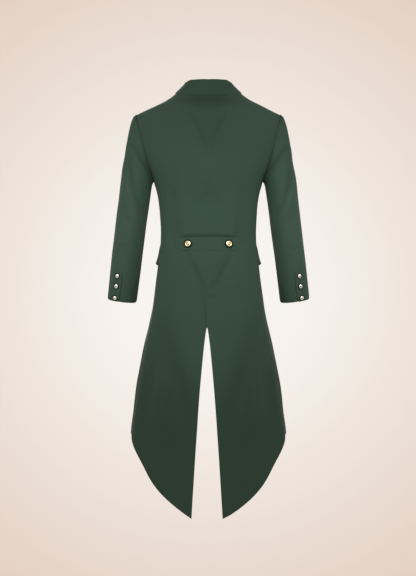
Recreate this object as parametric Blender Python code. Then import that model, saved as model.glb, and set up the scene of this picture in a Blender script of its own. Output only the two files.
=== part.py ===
"""A tailcoat, hollow, as it stands when it is worn. Metres, +Z up.

The back of the coat faces +Y and its left side lies at +X. The origin is at the base of the neck, midway
between the shoulders. The body is one surface of rounded sections, and every body panel is cut from it.
"""

import math

import bmesh
import bpy
from mathutils import Matrix, Vector

# Driving sizes
CLOTH = 0.002
SEAM_GAP = 0.0003
LIFT = 0.0006  # between a panel and what lies on it
LAPEL_LIFT = 0.0014
COLLAR_LIFT = 0.0018
NORMAL_STEP = 0.001
SHOULDER_HALF_WIDTH = 0.216
SHOULDER_POINT_HEIGHT = -0.057
SHOULDER_CROWN = 0.004
NECK_HALF_WIDTH = 0.080
NECK_POINT_HEIGHT = 0.012
NECK_BACK_HEIGHT = 0.016
NECK_BACK_DEPTH = 0.068
RIDGE_FORWARD = -0.002  # the shoulder seam lies just in front of the origin
SHOULDER_ROUND = 0.080  # how far below the shoulder seam the body reaches its full depth
UNDERARM = 0.252  # levels are heights below the origin
WAIST = 0.436
WAIST_DIP_AT_FRONT = 0.034

# Armhole, as a loop on the body surface
ARMHOLE_BACK_TURN = 30
ARMHOLE_FRONT_TURN = 31
ARMHOLE_HALF_HEIGHT = 0.096
ARMHOLE_HALF_REACH = 0.065
SIDE_BACK_SEAM_START = 105  # degrees round the armhole, from the shoulder
SIDE_BACK_SEAM_AT_WAIST = 0.078
SIDE_BACK_SEAM_CURVE = 1.7
ARMHOLE_COLUMNS = 12  # round half of the armhole
ARMHOLE_STEP = 180 // ARMHOLE_COLUMNS
WAIST_ROWS = 9
BACK_COLUMNS = 20


def table(columns, *rows):
    """A table as a dictionary of its columns, written as a row for each section, fold or place."""
    return dict(zip(columns, zip(*rows)))


# The body's sections, from the neck and shoulders down to the tips of the tails
SECTIONS = table(
    ("level", "half_width", "back", "front", "squareness"),
    (0.000, 0.216, 0.072, 0.060, 3.00),
    (0.090, 0.212, 0.104, 0.104, 3.00),
    (0.156, 0.199, 0.113, 0.121, 2.90),
    (0.196, 0.186, 0.114, 0.125, 2.80),
    (0.252, 0.163, 0.109, 0.123, 2.60),
    (0.300, 0.151, 0.099, 0.118, 2.50),
    (0.350, 0.146, 0.089, 0.112, 2.40),
    (0.405, 0.143, 0.083, 0.107, 2.30),
    (0.455, 0.145, 0.089, 0.107, 2.30),
    (0.510, 0.152, 0.104, 0.110, 2.30),
    (0.576, 0.161, 0.121, 0.114, 2.25),
    (0.640, 0.169, 0.128, 0.116, 2.20),
    (0.744, 0.191, 0.135, 0.120, 2.15),
    (0.840, 0.209, 0.140, 0.124, 2.10),
    (0.936, 0.224, 0.145, 0.128, 2.10),
    (1.008, 0.234, 0.149, 0.130, 2.10),
    (1.270, 0.246, 0.160, 0.134, 2.10),
)

# The soft folds of the tails. The turn is counted from the centre of the back and, like the width, in
# degrees; a fold starts at one level and is full at the next.
FOLDS = table(
    ("turn", "width", "depth", "starts", "full"),
    (23, 7.0, -0.005, 0.60, 0.95),
    (39, 7.0, 0.004, 0.56, 0.90),
    (53, 6.5, -0.011, 0.50, 0.78),
    (68, 7.0, 0.006, 0.55, 0.90),
    (82, 6.0, -0.006, 0.56, 0.95),
    (100, 8.0, 0.006, 0.52, 0.85),
    (114, 7.0, -0.008, 0.56, 0.85),
)
FOLD_FADES = 0.85
FOLD_AT_HEM = 0.4

# Tails
VENT_TOP = 0.684
VENT_FOOT = 1.227
VENT_HALF_GAP_AT_FOOT = 0.0445
VENT_SHIFT = 0.004
TAIL_FRONT_TURN = 128
TAIL_CORNER_TURN = 87
TAIL_CORNER = 1.006
TAIL_HEM = {
    "out": (0.048, 0.070, 0.100, 0.147, 0.180, 0.2055, 0.224, 0.2335),
    "level": (1.239, 1.227, 1.203, 1.160, 1.116, 1.0715, 1.032, 1.006),
}
VENT_CURVE = 0.72
TAIL_FRONT_CURVE = 1.3
TAIL_COLUMNS = 12
TAIL_ROWS = 28

# Front edge, which is also the line where the lapel turns back
FRONT_EDGE = {
    "level": (0.0, 0.06, 0.14, 0.24, 0.34, 0.40, 0.436),
    "out": (0.080, 0.072, 0.058, 0.040, 0.023, 0.014, 0.014),
}
FRONT_COLUMNS = 9
LAPEL = {
    "level": (0.092, 0.106, 0.125, 0.20, 0.30, 0.392),
    "width": (0.060, 0.088, 0.094, 0.074, 0.042, 0.010),
}
LAPEL_SPREAD = 0.62  # the front's surface turns faster than a circle of its depth
LAPEL_ROLL = 0.0035
LAPEL_ROWS = 14
LAPEL_COLUMNS = 6

# Sleeves
BICEP = Vector((0.2145, 0.002, -0.268))
CUFF = Vector((0.2570, -0.030, -0.6065))
ELBOW_BOW = 0.014
BICEP_HALF = (0.0455, 0.066)
CUFF_HALF = (0.0425, 0.050)
HIND_SEAM = 75
FORE_SEAM = -105
CAP_RISE = 0.85
CAP_ROWS = 7
ARM_ROWS = 14

# Collar: a row for each place from the centre of the back (0) round the neck to the front end (1)
COLLAR = {
    "share": (0.0, 0.25, 0.375, 0.50, 0.72, 1.0),
    "stand_up": (0.0305, 0.0315, 0.0312, 0.0300, 0.017, 0.003),
    "stand_in": (0.002, 0.004, 0.0068, 0.010, 0.008, 0.002),
    "fall_out": (0.014, 0.0225, 0.027, 0.031, 0.052, 0.056),
    "fall_down": (0.0485, 0.048, 0.045, 0.036, 0.024, 0.002),
    "fall_crown": (0.005, 0.004, 0.001, -0.001, 0.003, 0.006),
}
COLLAR_FRONT_LEVEL = 0.086
COLLAR_NECK_POINT_SHARE = 0.52
COLLAR_ROLL_SHARE = 0.45
COLLAR_COLUMNS = 32
COLLAR_ROWS = 9

# Half-belt, flaps and buttons
BELT_MIDDLE = 0.439
BELT_HALF_HEIGHT = 0.020
BELT_HALF_LENGTH = 0.093
BELT_END = 0.014
BELT_END_NARROWING = 0.45
BELT_CLOTH = 0.003
FLAP_TURNS = (84, 121)
FLAP_DEPTH = 0.061
FLAP_FLARE = 0.0055
BACK_BUTTON_OUT = 0.060
BACK_BUTTON_LEVEL = 0.439
BACK_BUTTON_RADIUS = 0.0112
BACK_BUTTON_RISE = LIFT + BELT_CLOTH + 0.0009  # clear of the belt's curve
CUFF_BUTTON_RADIUS = 0.0074
CUFF_BUTTON_TURN = 57
CUFF_BUTTON_HEIGHTS = (-0.532, -0.5635, -0.5965)
BUTTON_SIDES = 14
BUTTON_HEIGHT = 0.42  # of the radius
BUTTON_PROFILE = (  # from the middle of the underside round the rim to the boss: (out, up)
    (0.00, 0.00), (0.86, 0.00), (1.00, 0.15), (1.00, 0.45), (0.93, 0.72),
    (0.82, 0.74), (0.76, 0.55), (0.55, 0.72), (0.30, 0.92), (0.00, 1.00),
)

GREEN_WOOL = ("green_wool", (0.040, 0.067, 0.045), 0.85, 0.0)
GILT = ("gilt", (0.80, 0.56, 0.24), 0.32, 1.0)


def lerp(a, b, share):
    return a + (b - a) * share


def ease(share):
    share = min(max(share, 0.0), 1.0)
    return share * share * (3 - 2 * share)


def read(table, by, at, column):
    """A table's column at any value of another column, on a smooth curve that doesn't overshoot."""
    xs, ys = table[by], table[column]
    last = len(xs) - 1
    if at <= xs[0]:
        return ys[0]
    if at >= xs[last]:
        return ys[last]
    slopes = [(ys[i + 1] - ys[i]) / (xs[i + 1] - xs[i]) for i in range(last)]

    def tangent(i):
        if i == 0 or i == last:
            return slopes[0 if i == 0 else last - 1]
        before, after = slopes[i - 1], slopes[i]
        return 0.0 if before * after <= 0 else 2 * before * after / (before + after)

    i = next(k for k in range(last) if xs[k + 1] >= at)
    step = xs[i + 1] - xs[i]
    t = (at - xs[i]) / step
    return (
        (1 + 2 * t) * (1 - t) ** 2 * ys[i]
        + t * (1 - t) ** 2 * step * tangent(i)
        + t * t * (3 - 2 * t) * ys[i + 1]
        + t * t * (t - 1) * step * tangent(i + 1)
    )


def section(level, column):
    return read(SECTIONS, "level", level, column)


def ridge(out):
    """The neck seam at the back and the shoulder seam beyond it: (y, z) at a distance out from the middle."""
    if out < NECK_HALF_WIDTH:
        share = out / NECK_HALF_WIDTH
        back = NECK_BACK_DEPTH - RIDGE_FORWARD
        height = lerp(NECK_BACK_HEIGHT, NECK_POINT_HEIGHT, share**2)
        return RIDGE_FORWARD + back * math.sqrt(1 - share**2), height
    share = (out - NECK_HALF_WIDTH) / (SHOULDER_HALF_WIDTH - NECK_HALF_WIDTH)
    lift = SHOULDER_CROWN * math.sin(math.pi * share)
    return RIDGE_FORWARD, lerp(NECK_POINT_HEIGHT, SHOULDER_POINT_HEIGHT, share) + lift


def fold(turn, level):
    """How far the tails' folds stand out from the plain section."""
    moved = 0.0
    for i, centre in enumerate(FOLDS["turn"]):
        away = (abs(turn) - centre) / FOLDS["width"][i]
        grown = ease((level - FOLDS["starts"][i]) / (FOLDS["full"][i] - FOLDS["starts"][i]))
        moved += FOLDS["depth"][i] * grown * math.exp(-away * away)
    return moved * lerp(1, FOLD_AT_HEM, ease((level - FOLD_FADES) / (TAIL_CORNER - FOLD_FADES)))


def body(turn, level):
    """A point of the body's outer surface; turn is 0 at the centre back and 180 at the centre front."""
    angle = math.radians(turn)
    square = section(level, "squareness")
    sine, cosine = math.sin(angle), math.cos(angle)
    reach = (abs(sine) ** square + abs(cosine) ** square) ** (-1 / square)
    grow = fold(turn, level)
    half_width = section(level, "half_width") + grow
    depth = section(level, "back" if cosine > 0 else "front") + grow
    x, y, z = half_width * reach * sine, depth * reach * cosine, -level
    if level < UNDERARM:
        ridge_y, ridge_z = ridge(min(abs(x), SHOULDER_HALF_WIDTH))
        down = 1 - min(1.0, level / SHOULDER_ROUND)
        y = lerp(ridge_y, y, math.sqrt(1 - down * down))
        z = lerp(ridge_z, -UNDERARM, level / UNDERARM)
    return Vector((x, y, z))


def on_body(turn, level, out=0.0):
    """A point of the body, moved out along the surface's normal."""
    place = body(turn, level)
    if not out:
        return place
    step = NORMAL_STEP if level > NORMAL_STEP else NORMAL_STEP / 100
    above, below = max(level - step, 0.0), level + step
    across = body(turn + 0.6, level) - body(turn - 0.6, level)
    down = body(turn, below) - body(turn, above)
    return place + across.cross(down).normalized() * out


def turn_at(x, level, front=False):
    """The turn at which a section, with its folds, reaches x."""
    square = section(level, "squareness")
    turn = 45.0
    for _ in range(4):
        share = min(abs(x) / (section(level, "half_width") + fold(turn, level)), 0.9999)
        turn = math.degrees(math.atan2(share, (1 - share**square) ** (1 / square)))
        turn = 180 - turn if front else turn
    return math.copysign(turn, x)


def gap_turn(level):
    return math.degrees(SEAM_GAP / 2 / section(level, "back"))


def armhole(phi, inset=0.0):
    """The armhole's (turn, level) at phi degrees round it: 0 at the shoulder, 90 behind, 180 underarm."""
    sine, cosine = math.sin(math.radians(phi)), math.cos(math.radians(phi))
    reach = ARMHOLE_BACK_TURN if sine > 0 else ARMHOLE_FRONT_TURN
    turn = 90 - reach * sine * (1 - inset / ARMHOLE_HALF_REACH)
    return turn, UNDERARM / 2 * (1 - cosine * (1 - inset / ARMHOLE_HALF_HEIGHT))


def armhole_turn(level, back):
    phi = math.degrees(math.acos(1 - 2 * level / UNDERARM))
    return armhole(phi if back else -phi)[0]


def waist_level(turn):
    return WAIST + WAIST_DIP_AT_FRONT * ease((abs(turn) - 90) / 85)


ARMHOLE_LEVELS = [armhole(phi)[1] for phi in range(0, 181, ARMHOLE_STEP)]
WAIST_LEVELS = [lerp(UNDERARM, WAIST, row / WAIST_ROWS) for row in range(1, WAIST_ROWS + 1)]
LEVELS = ARMHOLE_LEVELS + WAIST_LEVELS
SEAM_ROW = SIDE_BACK_SEAM_START // ARMHOLE_STEP


def side_back_seam(level):
    start, start_level = armhole(SIDE_BACK_SEAM_START)
    share = (level - start_level) / (WAIST - start_level)
    return lerp(start, turn_at(SIDE_BACK_SEAM_AT_WAIST, WAIST), 1 - (1 - share) ** SIDE_BACK_SEAM_CURVE)


def tail_inner_x(level, side):
    """The edge of a tail at the centre seam and the vent."""
    if level < VENT_TOP:
        return side * SEAM_GAP / 2 + VENT_SHIFT * ease((level - WAIST) / (VENT_TOP - WAIST))
    open_share = min((level - VENT_TOP) / (VENT_FOOT - VENT_TOP), 1.05)
    return side * (SEAM_GAP / 2 + VENT_HALF_GAP_AT_FOOT * open_share**VENT_CURVE) + VENT_SHIFT


def tail_front_turn(level):
    share = min(max((level - WAIST) / (TAIL_CORNER - WAIST), 0.0), 1.0)
    return lerp(TAIL_FRONT_TURN, TAIL_CORNER_TURN, share**TAIL_FRONT_CURVE)


def material(finish):
    name, colour, roughness, metallic = finish
    found = bpy.data.materials.get(name)
    if found:
        return found
    made = bpy.data.materials.new(name)
    made.use_nodes = True
    shader = made.node_tree.nodes["Principled BSDF"]
    shader.inputs["Base Color"].default_value = (*colour, 1)
    shader.inputs["Roughness"].default_value = roughness
    shader.inputs["Metallic"].default_value = metallic
    return made


def add(name, bm, finish, place=Matrix()):
    """Puts a finished bmesh in the coat's collection, placed by its object."""
    bmesh.ops.recalc_face_normals(bm, faces=bm.faces[:])
    mesh = bpy.data.meshes.new(name)
    bm.to_mesh(mesh)
    bm.free()
    mesh.materials.append(material(finish))
    mesh.shade_smooth()
    mesh.set_sharp_from_angle(angle=math.radians(40))
    piece = bpy.data.objects.new(name, mesh)
    piece.matrix_world = place
    coat.objects.link(piece)
    return piece


def cloth_panel(name, columns, rows, place, cloth=CLOTH):
    """A wall of cloth: a grid laid on place(across, down, out), and the same grid one cloth further in."""
    bm = bmesh.new()
    bmesh.ops.create_grid(bm, x_segments=columns, y_segments=rows, size=0.5)
    share = bm.verts.layers.float_vector.new("share")
    for vert in bm.verts:
        vert[share] = vert.co + Vector((0.5, 0.5, 0))
    outer = bm.verts[:]
    made = bmesh.ops.extrude_face_region(bm, geom=bm.faces[:])
    inner = [item for item in made["geom"] if isinstance(item, bmesh.types.BMVert)]
    for verts, out in ((outer, 0.0), (inner, -cloth)):
        for vert in verts:
            vert.co = place(vert[share].x, vert[share].y, out)
    bm.verts.layers.float_vector.remove(share)
    return add(name, bm, GREEN_WOOL)


def row_level(down, levels):
    """The level of a grid row, from a list with one level for each row."""
    return levels[round(down * (len(levels) - 1))]


def build_back():
    def limit(level):
        turn = armhole_turn(level, back=True) if level <= LEVELS[SEAM_ROW] else side_back_seam(level)
        return turn - gap_turn(level)

    def place(across, down, out):
        level = row_level(down, LEVELS)
        edge = body(limit(level), level).x
        x = lerp(-edge, edge, across)
        turn = lerp(lerp(-1, 1, across) * limit(level), turn_at(x, level), 0.5) if x else 0.0
        return on_body(turn, min(level, WAIST - SEAM_GAP / 2), out)

    cloth_panel("back", BACK_COLUMNS, len(LEVELS) - 1, place)


def build_side_back(side, word):
    first = SEAM_ROW
    columns, rows = ARMHOLE_COLUMNS - first, len(LEVELS) - 1 - first

    def place(across, down, out):
        level_here = LEVELS[first + round(down * rows)]
        share = (level_here - LEVELS[first]) / (WAIST - LEVELS[first])
        top_turn, top = armhole(lerp(SIDE_BACK_SEAM_START, 180, across))
        level = min(lerp(top, WAIST, share), WAIST - SEAM_GAP / 2)
        start = side_back_seam(level) + gap_turn(level)
        end = 90 - gap_turn(level)
        start_at_top = side_back_seam(top) + gap_turn(top)
        turn = lerp(start, end, across)
        if across > 0:
            turn += (1 - share) * (top_turn - lerp(start_at_top, end, across))
        return on_body(side * turn, level, out)

    cloth_panel(f"side_back_{word}", columns, rows, place)


def front_edge_turn(level):
    return turn_at(read(FRONT_EDGE, "level", level, "out"), min(level, WAIST), front=True)


def build_front(side, word):
    def place(across, down, out):
        level = row_level(down, LEVELS)
        if level <= UNDERARM:
            start = armhole_turn(min(level, UNDERARM), back=False)
        else:
            start = 90 + gap_turn(level)
        edge = front_edge_turn(level)
        turn = lerp(start, edge, across)
        if level > UNDERARM:
            hem = waist_level(turn) - SEAM_GAP / 2
            level = lerp(UNDERARM, hem, (level - UNDERARM) / (WAIST - UNDERARM))
        point = on_body(side * turn, level, out)
        if down == 0:
            point.y -= SEAM_GAP
        return point

    cloth_panel(f"front_{word}", FRONT_COLUMNS, len(LEVELS) - 1, place)


def build_tail(side, word):
    hem = {"share": [], "level": list(TAIL_HEM["level"])}
    for x, level in zip(TAIL_HEM["out"], TAIL_HEM["level"]):
        start, end = tail_turns(level, side)
        hem["share"].append((turn_at(x, level) - start) / (end - start))
    hem["share"][0], hem["share"][-1] = 0.0, 1.0

    def place(across, down, out):
        top = waist_level(lerp(0, TAIL_FRONT_TURN, across)) + SEAM_GAP / 2
        foot = read(hem, "share", across, "level")
        level = lerp(top, foot, down)
        start, end = tail_turns(level, side)
        return on_body(side * lerp(start, end, across), level, out)

    cloth_panel(f"tail_{word}", TAIL_COLUMNS, TAIL_ROWS, place)


def tail_turns(level, side):
    return side * turn_at(tail_inner_x(level, side), level), tail_front_turn(level)


def arm_ring(share, phi, out):
    """A point of the sleeve's tube; share runs from the bicep (0) to the cuff (1)."""
    axis = (CUFF - BICEP).normalized()
    across = Vector((1, 0, 0)) - axis * axis.x
    across.normalize()
    deep = across.cross(axis)
    centre = BICEP.lerp(CUFF, share) + Vector((0, ELBOW_BOW * math.sin(math.pi * share), 0))
    half_across = lerp(BICEP_HALF[0], CUFF_HALF[0], share) + out
    half_deep = lerp(BICEP_HALF[1], CUFF_HALF[1], share) + out
    angle = math.radians(phi)
    return centre + across * (half_across * math.cos(angle)) + deep * (half_deep * math.sin(angle))


def sleeve_point(share, phi, out, side):
    """share runs from -1 at the armhole to 0 at the bicep and 1 at the cuff."""
    if share >= 0:
        point = arm_ring(share, phi, out)
    else:
        start = body(*armhole(phi, SEAM_GAP * 1.5 - out))
        end = arm_ring(0, phi, out)
        rise = (BICEP - CUFF).normalized() * ((start - end).length * CAP_RISE)
        t = 1 + share
        point = start * (1 - t) ** 2 + (end + rise) * (2 * t * (1 - t)) + end * t**2
        point.x += LIFT * (1 - t)
    return Vector((side * point.x, point.y, point.z))


def build_sleeve(side, word):
    rows = CAP_ROWS + ARM_ROWS
    gap = math.degrees(SEAM_GAP / 2 / BICEP_HALF[0])
    spans = {"top": (FORE_SEAM, HIND_SEAM), "under": (HIND_SEAM, FORE_SEAM + 360)}
    for part, (start, end) in spans.items():

        def place(across, down, out, start=start, end=end):
            row = round(down * rows)
            share = row / CAP_ROWS - 1 if row <= CAP_ROWS else (row - CAP_ROWS) / ARM_ROWS
            return sleeve_point(share, lerp(start + gap, end - gap, across), out, side)

        cloth_panel(f"sleeve_{part}_{word}", ARMHOLE_COLUMNS, rows, place)


def neck_line(share):
    """The collar's seam on the neck, from the centre back to the front end, and the way out from the neck."""
    if share < COLLAR_NECK_POINT_SHARE:
        angle = share / COLLAR_NECK_POINT_SHARE * math.pi / 2
        x = NECK_HALF_WIDTH * math.sin(angle)
        y, z = ridge(min(x, NECK_HALF_WIDTH - 1e-6))
        return Vector((x, y, z)), Vector((math.sin(angle), math.cos(angle), 0))
    along = (share - COLLAR_NECK_POINT_SHARE) / (1 - COLLAR_NECK_POINT_SHARE)
    level = along * COLLAR_FRONT_LEVEL
    place = body(front_edge_turn(level), level)
    return place, Vector((1, -0.35 * along, 0)).normalized()


def build_collar():
    def place(across, down, out):
        side = 1 if across >= 0.5 else -1
        share = abs(across - 0.5) * 2
        seam, outward = neck_line(share)
        seam = seam + Vector((0, 0, COLLAR_LIFT))
        up = read(COLLAR, "share", share, "stand_up")
        inward = read(COLLAR, "share", share, "stand_in")
        roll = seam + Vector((0, 0, up)) - outward * inward
        edge = roll + outward * read(COLLAR, "share", share, "fall_out")
        edge.z -= read(COLLAR, "share", share, "fall_down")
        crown = read(COLLAR, "share", share, "fall_crown")
        point, normal = collar_profile(seam, roll, edge, outward, crown, down)
        point = point + normal * out
        return Vector((side * point.x, point.y, point.z))

    cloth_panel("collar", COLLAR_COLUMNS, COLLAR_ROWS, place)


def collar_profile(seam, roll, edge, outward, crown, down):
    """The stand up to the roll and the fall down to the edge; the normal points out of the turn."""
    if down <= COLLAR_ROLL_SHARE:
        point = seam.lerp(roll, 1 - (1 - down / COLLAR_ROLL_SHARE) ** 1.5)
    else:
        t = (down - COLLAR_ROLL_SHARE) / (1 - COLLAR_ROLL_SHARE)
        point = roll.lerp(edge, t)
        point.z += crown * math.sin(math.pi * t)
    lean = lerp(-90, 45, down)
    normal = outward * math.sin(math.radians(lean)) + Vector((0, 0, math.cos(math.radians(lean))))
    return point, normal.normalized()


def build_lapel(side, word):
    first, last = LAPEL["level"][0], LAPEL["level"][-1]

    def place(across, down, out):
        level = lerp(first, last, down)
        width = read(LAPEL, "level", level, "width")
        edge = front_edge_turn(level)
        spread = math.degrees(width / section(level, "front")) * LAPEL_SPREAD
        rise = LAPEL_ROLL * math.sin(math.pi * across) * (1 - down)
        return on_body(side * (edge - spread * across), level, CLOTH + LAPEL_LIFT + rise + out)

    cloth_panel(f"lapel_{word}", LAPEL_COLUMNS, LAPEL_ROWS, place)


def build_belt():
    def place(across, down, out):
        x = lerp(-BELT_HALF_LENGTH, BELT_HALF_LENGTH, across)
        past = max(0.0, (abs(x) - BELT_HALF_LENGTH + BELT_END) / BELT_END)
        level = BELT_MIDDLE + BELT_HALF_HEIGHT * (1 - BELT_END_NARROWING * past * past) * lerp(-1, 1, down)
        return on_body(turn_at(x, level) if x else 0.0, level, BELT_CLOTH + LIFT + out)

    cloth_panel("half_belt", 16, 3, place, BELT_CLOTH)


def build_flap(side, word):
    def place(across, down, out):
        turn = lerp(*FLAP_TURNS, across)
        top = waist_level(turn) + 0.002
        level = top + FLAP_DEPTH * down
        stand = FLAP_FLARE * down * down
        return on_body(side * turn, level, CLOTH + LIFT + stand + out)

    cloth_panel(f"flap_{word}", 6, 4, place)


def button(name, radius, centre, outward):
    """A gilt shank button: a rim, a groove and a low boss, turned about its axis."""
    height = radius * BUTTON_HEIGHT
    bm = bmesh.new()
    chain = [bm.verts.new((radius * out, 0, height * up)) for out, up in BUTTON_PROFILE]
    edges = [bm.edges.new(pair) for pair in zip(chain, chain[1:])]
    bmesh.ops.spin(bm, geom=chain + edges, axis=(0, 0, 1), angle=math.tau, steps=BUTTON_SIDES, use_merge=True)
    bmesh.ops.remove_doubles(bm, verts=bm.verts[:], dist=1e-6)
    turned = outward.to_track_quat("Z", "Y").to_matrix().to_4x4()
    add(name, bm, GILT, Matrix.Translation(centre) @ turned)


def build_back_button(side, word):
    turn = turn_at(side * BACK_BUTTON_OUT, BACK_BUTTON_LEVEL)
    on_cloth = on_body(turn, BACK_BUTTON_LEVEL)
    outward = (on_body(turn, BACK_BUTTON_LEVEL, 1.0) - on_cloth).normalized()
    centre = on_cloth + outward * BACK_BUTTON_RISE
    button(f"back_button_{word}", BACK_BUTTON_RADIUS, centre, outward)


def build_cuff_button(side, word, number):
    share = (CUFF_BUTTON_HEIGHTS[number] - BICEP.z) / (CUFF.z - BICEP.z)
    on_cloth = sleeve_point(share, CUFF_BUTTON_TURN, 0, side)
    outward = (sleeve_point(share, CUFF_BUTTON_TURN, 0.01, side) - on_cloth).normalized()
    away = CUFF_BUTTON_RADIUS**2 / 2 / CUFF_HALF[0] + LIFT
    button(f"cuff_button_{word}_{number + 1}", CUFF_BUTTON_RADIUS, on_cloth + outward * away, outward)


for item in list(bpy.data.objects):
    bpy.data.objects.remove(item)
coat = bpy.data.collections.new("tailcoat")
bpy.context.scene.collection.children.link(coat)

build_back()
build_collar()
build_belt()
for side, word in ((1, "left"), (-1, "right")):
    build_side_back(side, word)
    build_front(side, word)
    build_tail(side, word)
    build_sleeve(side, word)
    build_lapel(side, word)
    build_flap(side, word)
    build_back_button(side, word)
    for number in range(len(CUFF_BUTTON_HEIGHTS)):
        build_cuff_button(side, word, number)
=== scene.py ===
import math

import bmesh
import bpy
import numpy as np
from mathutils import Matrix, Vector
from numpy.linalg import norm


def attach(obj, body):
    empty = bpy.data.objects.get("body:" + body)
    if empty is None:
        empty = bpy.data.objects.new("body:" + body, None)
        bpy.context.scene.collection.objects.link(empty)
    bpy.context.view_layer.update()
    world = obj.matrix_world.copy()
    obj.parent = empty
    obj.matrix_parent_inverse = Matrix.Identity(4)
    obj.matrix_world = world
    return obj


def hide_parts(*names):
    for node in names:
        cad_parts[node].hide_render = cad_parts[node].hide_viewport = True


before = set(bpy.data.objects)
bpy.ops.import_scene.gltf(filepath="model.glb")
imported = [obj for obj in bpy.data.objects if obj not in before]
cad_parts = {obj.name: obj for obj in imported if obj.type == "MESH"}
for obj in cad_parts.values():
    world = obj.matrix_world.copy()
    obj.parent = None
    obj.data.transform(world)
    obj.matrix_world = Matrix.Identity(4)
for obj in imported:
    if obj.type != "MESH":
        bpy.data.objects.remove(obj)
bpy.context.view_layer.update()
scene = bpy.context.scene


# Back of the bodice: one panel of green wool suiting, from the neck and shoulder seams down to the waist
# seam under the half-belt, cut to follow the wearer's back. It is pressed open at its seams, creased softly
# below the collar and at the waist, and blouses a little over the belt. All sizes are in metres.
CLOTH = 0.002
LIFT = 0.0006
NORMAL_STEP = 0.001
NORMAL_TURN = 0.6
SHOULDER_HALF_WIDTH = 0.216
SHOULDER_POINT_HEIGHT = -0.0515
SHOULDER_CROWN = 0.0005
NECK_SLOPE_RISE = 0.012
NECK_SLOPE_LENGTH = 0.032
NECK_HALF_WIDTH = 0.08
NECK_POINT_HEIGHT = 0.012
NECK_BACK_HEIGHT = 0.016
NECK_BACK_DEPTH = 0.068
RIDGE_FORWARD = -0.002
SHOULDER_ROUND = 0.08
UNDERARM = 0.252
WAIST = 0.436
WAIST_DIP_AT_FRONT = 0.034
WAIST_DIP_TURNS = 85
ARMHOLE_BACK_TURN = 30
ARMHOLE_FRONT_TURN = 31
ARMHOLE_HALF_HEIGHT = 0.096
ARMHOLE_HALF_REACH = 0.065
ARMHOLE_GRID_STEP = 2.5
SIDE_BACK_SEAM_START = 105
SIDE_BACK_SEAM_AT_WAIST = 0.078
SIDE_BACK_SEAM_CURVE = 1.7
VENT_TOP = 0.684
TAIL_CORNER = 1.006
BELT_MIDDLE = 0.439
BELT_HALF_HEIGHT = 0.02
BELT_HALF_LENGTH = 0.093
BLOUSE_TOP = 0.384
BLOUSE_STARTS = 0.3
BLOUSE_TURNS = 0.4045
BLOUSE_OUT = 0.0085
BLOUSE_ARCH = 0.004
BLOUSE_OVER_BELT = 0.0012
BLOUSE_BEYOND_BELT = 0.004
BLOUSE_FADE = 0.03
BLOUSE_PITCH = 0.0011
BACK_GRID_WIDTH = 0.4
GRID_PITCH = 0.0045
EDGE_LINES = (0.0, 0.0004, 0.001, 0.0022)
SEAM_SINK = 0.0004
ARMHOLE_SINK = 0.0014
SEAM_SINK_WIDTH = 0.003
WAIST_SINK = 0.0003
EDGE_ROUND = 0.48
SEAM_SHADE_FROM = 0.5
PAINTED_SHADE_SLOPE = 1.2
CREASE_FADE = 0.7
CREASE_RIDGE = 1.7
SIDES = ((1, "left"), (-1, "right"))


def table(columns, *rows):
    """A dictionary of columns, written as a row for each section, fold or place."""
    return dict(zip(columns, np.array(rows, float).T))


# The wearer's form, from the neck and shoulders down to the tips of the tails
SECTIONS = table(
    ("level", "half_width", "back", "front", "squareness"),
    (0.000, 0.216, 0.072, 0.060, 3.00),
    (0.090, 0.212, 0.104, 0.104, 3.00),
    (0.156, 0.199, 0.113, 0.121, 2.90),
    (0.196, 0.186, 0.114, 0.125, 2.80),
    (0.252, 0.163, 0.109, 0.123, 2.60),
    (0.300, 0.151, 0.099, 0.118, 2.50),
    (0.350, 0.146, 0.089, 0.112, 2.40),
    (0.405, 0.143, 0.083, 0.107, 2.30),
    (0.455, 0.145, 0.089, 0.107, 2.30),
    (0.510, 0.152, 0.104, 0.110, 2.30),
    (0.576, 0.161, 0.121, 0.114, 2.25),
    (0.640, 0.169, 0.128, 0.116, 2.20),
    (0.744, 0.191, 0.135, 0.120, 2.15),
    (0.840, 0.209, 0.140, 0.124, 2.10),
    (0.936, 0.224, 0.145, 0.128, 2.10),
    (1.008, 0.234, 0.149, 0.130, 2.10),
    (1.270, 0.246, 0.160, 0.134, 2.10),
)

# The long soft folds of the tails: turn from the centre of the back and width in degrees
FOLDS = table(
    ("turn", "width", "depth", "starts", "full"),
    (23, 7.0, -0.005, 0.60, 0.95),
    (39, 7.0, 0.003, 0.56, 0.90),
    (53, 7.5, -0.008, 0.50, 0.78),
    (68, 7.5, 0.004, 0.55, 0.90),
    (82, 6.0, -0.006, 0.56, 0.95),
    (100, 8.0, 0.006, 0.52, 0.85),
    (114, 7.0, -0.008, 0.56, 0.85),
)
FOLD_FADES = 0.85
FOLD_AT_HEM = 0.4


def lerp(a, b, share):
    return a + (b - a) * share


def ease(share):
    share = np.clip(share, 0.0, 1.0)
    return share * share * (3 - 2 * share)


def bell(x):
    """1 in the middle, with soft sides that run out about two widths away."""
    return np.exp(-x * x)


def read(rows, by, at, column):
    """A table's column at any value of another column, on a smooth curve that doesn't overshoot."""
    xs, ys = rows[by], rows[column]
    at = np.clip(at, xs[0], xs[-1])
    slopes = np.diff(ys) / np.diff(xs)
    product = slopes[:-1] * slopes[1:]
    total = np.where(product > 0, slopes[:-1] + slopes[1:], 1.0)
    tangents = np.concatenate([slopes[:1], np.where(product > 0, 2 * product / total, 0.0), slopes[-1:]])
    i = np.clip(np.searchsorted(xs, at) - 1, 0, len(xs) - 2)
    step = xs[i + 1] - xs[i]
    t = (at - xs[i]) / step
    return (
        (1 + 2 * t) * (1 - t) ** 2 * ys[i]
        + t * (1 - t) ** 2 * step * tangents[i]
        + t * t * (3 - 2 * t) * ys[i + 1]
        + t * t * (t - 1) * step * tangents[i + 1]
    )


def section(level, column):
    return read(SECTIONS, "level", level, column)


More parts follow.
